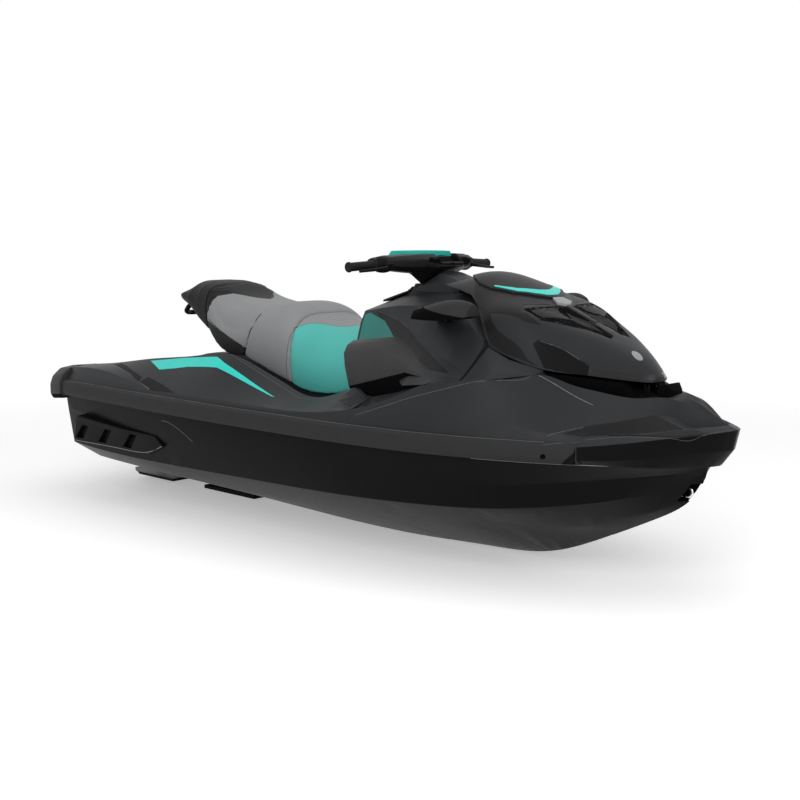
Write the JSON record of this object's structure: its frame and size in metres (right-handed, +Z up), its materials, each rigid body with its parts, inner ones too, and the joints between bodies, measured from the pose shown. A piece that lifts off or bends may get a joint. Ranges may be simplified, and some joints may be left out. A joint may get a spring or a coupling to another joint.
{
  "type": "personal watercraft",
  "caption": "Jet-driven personal watercraft with planing hull, footwells, saddle seat, steering bars, lifting front lid and steerable jet nozzle with reverse bucket.",
  "frame": {"origin": "on the centreplane amidships, at the waterline of the resting craft, 0.26 m over the keel", "axes": "+X towards the bow, +Y to port, +Z up"},
  "size_m": [3.317, 1.2562, 1.1406],
  "materials": {
    "hull_gelcoat": "gloss",
    "deck_gelcoat": "satin",
    "trim_grey": "satin",
    "black_plastic": "matte",
    "cast_alloy": "satin",
    "engine_alloy": "cast",
    "stainless": "polished",
    "foam_mat": "grooved",
    "seat_grey": "grained vinyl",
    "seat_mint": "grained vinyl",
    "seat_black": "grained vinyl",
    "grip_rubber": "matte"
  },
  "bodies": {
    "craft": {"hull_stern": "hull_gelcoat", "hull_middle": "hull_gelcoat", "hull_fore": "hull_gelcoat", "hull_bin": "hull_gelcoat", "hull_bow": "hull_gelcoat", "lid_frame": "black_plastic", "deck_stern": "deck_gelcoat", "deck_bow": "deck_gelcoat", "seat_pedestal": "deck_gelcoat", "gunwale_port": "deck_gelcoat", "gunwale_stbd": "deck_gelcoat", "rub_rail_port": "trim_grey", "rub_rail_stbd": "trim_grey", "bow_bumper": "trim_grey", "stern_corner_port": "trim_grey", "stern_corner_stbd": "trim_grey", "sponson_port": "black_plastic", "sponson_stbd": "black_plastic", "pump_housing": "cast_alloy", "ride_plate": "cast_alloy", "intake_grate": "cast_alloy", "engine_block": "engine_alloy", "bow_eye": "stainless", "stern_eye_port": "stainless", "stern_eye_stbd": "stainless", "swim_mat": "foam_mat", "footwell_mat_port": "foam_mat", "footwell_mat_stbd": "foam_mat", "cargo_socket_port": "black_plastic", "cargo_socket_stbd": "black_plastic", "rear_seat": "seat_grey", "driver_bolster": "seat_grey", "front_seat": "seat_mint", "seat_back": "seat_black", "grab_handle": "black_plastic", "console": "deck_gelcoat", "front_flank_port": "deck_gelcoat", "front_flank_stbd": "deck_gelcoat", "storage_bin": "black_plastic", "lid_hinge_port": "black_plastic", "lid_hinge_stbd": "black_plastic", "column_cowl": "deck_gelcoat", "speaker_pod_port": "black_plastic", "speaker_pod_stbd": "black_plastic", "mirror_port": "black_plastic", "mirror_stbd": "black_plastic"},
    "steering": {"steering_neck": "black_plastic", "handlebar": "black_plastic", "bar_cover": "deck_gelcoat", "grip_port": "grip_rubber", "grip_stbd": "grip_rubber", "bar_pad": "black_plastic"},
    "front_lid": {"hood": "deck_gelcoat", "side_vent_port": "black_plastic", "side_vent_stbd": "black_plastic"},
    "glovebox": {"glovebox_lid": "black_plastic"},
    "impeller_body": {"impeller": "stainless"},
    "nozzle": {"steering_nozzle": "cast_alloy"},
    "bucket": {"reverse_bucket": "cast_alloy"}
  },
  "joints": [
    {"name": "steering", "type": "hinge", "parent": "craft", "child": "steering", "pos_m": [0.362, 0, 0.75], "axis": [-0.5, 0, 0.866], "range_deg": [-25, 25]},
    {"name": "nozzle_steer", "type": "hinge", "parent": "craft", "child": "nozzle", "pos_m": [-1.482, 0, -0.09], "axis": [0, 0, 1], "range_deg": [-20, 20]},
    {"name": "reverse_bucket_swing", "type": "hinge", "parent": "craft", "child": "bucket", "pos_m": [-1.482, 0, -0.09], "axis": [0, 1, 0], "range_deg": [-72, 0]},
    {"name": "impeller_spin", "type": "hinge", "parent": "craft", "child": "impeller_body", "pos_m": [-1.2, 0, -0.09], "axis": [1, 0, 0], "continuous": true},
    {"name": "front_lid_hinge", "type": "hinge", "parent": "craft", "child": "front_lid", "pos_m": [1.335, 0, 0.435], "axis": [0, 1, 0], "range_deg": [0, 50]},
    {"name": "glovebox_hinge", "type": "hinge", "parent": "craft", "child": "glovebox", "pos_m": [0.285, 0, 0.724], "axis": [0, 1, 0], "range_deg": [0, 45]}
  ],
  "couplings": [
    {"joint": "nozzle_steer", "follows": "steering", "ratio": -0.8}
  ]
}
